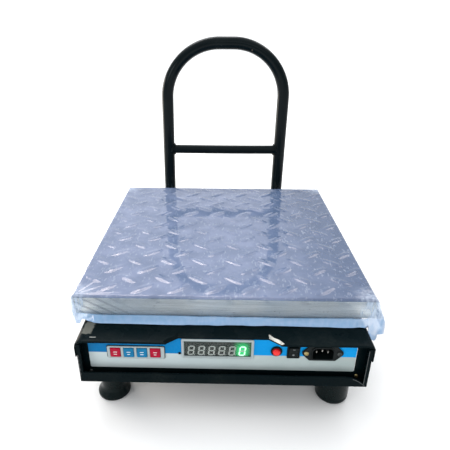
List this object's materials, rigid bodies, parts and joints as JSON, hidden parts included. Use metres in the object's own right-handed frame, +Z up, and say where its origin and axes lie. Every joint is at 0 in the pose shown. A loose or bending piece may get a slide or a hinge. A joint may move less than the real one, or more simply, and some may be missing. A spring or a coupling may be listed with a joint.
{
  "type": "platform shipping scale",
  "caption": "Platform shipping scale: film-wrapped chequer-plate platform on a black steel base with front display panel, keys, mains inlet, levelling feet and a rear loop handle.",
  "frame": {"origin": "on the floor under the centre of the platform and of the whole box", "axes": "+X to the operator's right, +Y from the control panel at the front to the handle at the back, +Z up"},
  "size_m": [0.4065, 0.4712, 0.4299],
  "materials": {
    "black_paint": "semi-gloss black paint with a teal cast, slightly orange-peeled",
    "bare_steel": "bare bright steel",
    "panel_vinyl": "printed vinyl label, blue above and light grey below",
    "brass_screw": "yellow passivated",
    "grey_plastic": "pale grey moulding",
    "smoked_window": "dark acrylic",
    "black_plastic": "satin black moulding",
    "board_green": "solder-masked circuit board",
    "nickel_pin": "nickel plated",
    "zinc_steel": "zinc plated, dull",
    "aluminium": "machined",
    "black_rubber": "moulded",
    "chequer_steel": "rolled lug-pattern plate",
    "polythene_film": "clear bluish polythene, wrinkled and glossy",
    "key_red": "moulded red",
    "key_blue": "moulded blue",
    "button_red": "glossy red"
  },
  "bodies": {
    "base": {"base_tray": "black_paint", "hood": "black_paint", "hood_flap_left": "black_paint", "hood_flap_right": "bare_steel", "panel_plate": "black_paint", "panel_label": "panel_vinyl", "panel_screw_left": "brass_screw", "panel_screw_right": "brass_screw", "keypad_frame": "grey_plastic", "display_bezel": "grey_plastic", "display_window": "smoked_window", "led_display": "black_plastic", "display_board": "board_green", "status_lamp": "black_plastic", "button_housing": "black_plastic", "rocker_housing": "black_plastic", "inlet_housing": "black_plastic", "inlet_pin_neutral": "nickel_pin", "inlet_pin_earth": "nickel_pin", "inlet_pin_live": "nickel_pin", "inlet_screw_left": "brass_screw", "inlet_screw_right": "brass_screw", "battery": "black_plastic", "main_board": "board_green", "transformer": "zinc_steel", "rail_left": "zinc_steel", "rail_right": "zinc_steel", "cross_member_front": "zinc_steel", "cross_member_rear": "zinc_steel", "load_cell_support": "zinc_steel", "load_cell": "aluminium", "load_cell_shim": "zinc_steel", "load_cell_bolt_1": "zinc_steel", "load_cell_bolt_2": "zinc_steel", "handle_tube": "black_paint", "handle_crossbar": "black_paint", "handle_saddle_left": "black_paint", "handle_saddle_right": "black_paint"},
    "weigh_frame": {"weigh_frame": "zinc_steel", "load_cell_spacer": "zinc_steel", "platform_pad_front_left": "black_rubber", "platform_pad_front_right": "black_rubber", "platform_pad_rear_left": "black_rubber", "platform_pad_rear_right": "black_rubber"},
    "platform": {"platform_pan": "chequer_steel", "film_cover": "polythene_film"},
    "key_1": {"key_1": "key_red"},
    "key_2": {"key_2": "key_blue"},
    "key_3": {"key_3": "key_blue"},
    "key_4": {"key_4": "key_red"},
    "push_button": {"push_button": "button_red"},
    "power_rocker": {"power_rocker": "black_plastic"},
    "foot_front_left": {"foot_front_left_rubber": "black_rubber", "foot_front_left_stud": "zinc_steel"},
    "foot_front_right": {"foot_front_right_rubber": "black_rubber", "foot_front_right_stud": "zinc_steel"},
    "foot_rear_left": {"foot_rear_left_rubber": "black_rubber", "foot_rear_left_stud": "zinc_steel"},
    "foot_rear_right": {"foot_rear_right_rubber": "black_rubber", "foot_rear_right_stud": "zinc_steel"}
  },
  "joints": [
    {"name": "weighing_deflection", "type": "slide", "parent": "base", "child": "weigh_frame", "axis": [0, 0, -1], "range_m": [0, 0.0005], "stiffness_N_per_m": 200000, "springref_m": -0.0006, "deforming": ["load_cell"]},
    {"name": "platform_lift_off", "type": "slide", "parent": "weigh_frame", "child": "platform", "axis": [0, 0, 1], "range_m": [0, 0.06]},
    {"name": "key_1_press", "type": "slide", "parent": "base", "child": "key_1", "axis": [0, 1, 0], "range_m": [0, 0.0008], "stiffness_N_per_m": 600, "springref_m": -0.001},
    {"name": "key_2_press", "type": "slide", "parent": "base", "child": "key_2", "axis": [0, 1, 0], "range_m": [0, 0.0008], "stiffness_N_per_m": 600, "springref_m": -0.001},
    {"name": "key_3_press", "type": "slide", "parent": "base", "child": "key_3", "axis": [0, 1, 0], "range_m": [0, 0.0008], "stiffness_N_per_m": 600, "springref_m": -0.001},
    {"name": "key_4_press", "type": "slide", "parent": "base", "child": "key_4", "axis": [0, 1, 0], "range_m": [0, 0.0008], "stiffness_N_per_m": 600, "springref_m": -0.001},
    {"name": "push_button_press", "type": "slide", "parent": "base", "child": "push_button", "axis": [0, 1, 0], "range_m": [0, 0.0025], "stiffness_N_per_m": 400, "springref_m": -0.002},
    {"name": "power_rocker_tilt", "type": "hinge", "parent": "base", "child": "power_rocker", "pos_m": [0.0852, -0.2221, 0.0962], "axis": [-1, 0, 0], "range_deg": [0, 20]},
    {"name": "foot_front_left_level", "type": "slide", "parent": "base", "child": "foot_front_left", "axis": [0, 0, -1], "range_m": [0, 0.01]},
    {"name": "foot_front_right_level", "type": "slide", "parent": "base", "child": "foot_front_right", "axis": [0, 0, -1], "range_m": [0, 0.01]},
    {"name": "foot_rear_left_level", "type": "slide", "parent": "base", "child": "foot_rear_left", "axis": [0, 0, -1], "range_m": [0, 0.01]},
    {"name": "foot_rear_right_level", "type": "slide", "parent": "base", "child": "foot_rear_right", "axis": [0, 0, -1], "range_m": [0, 0.01]}
  ]
}
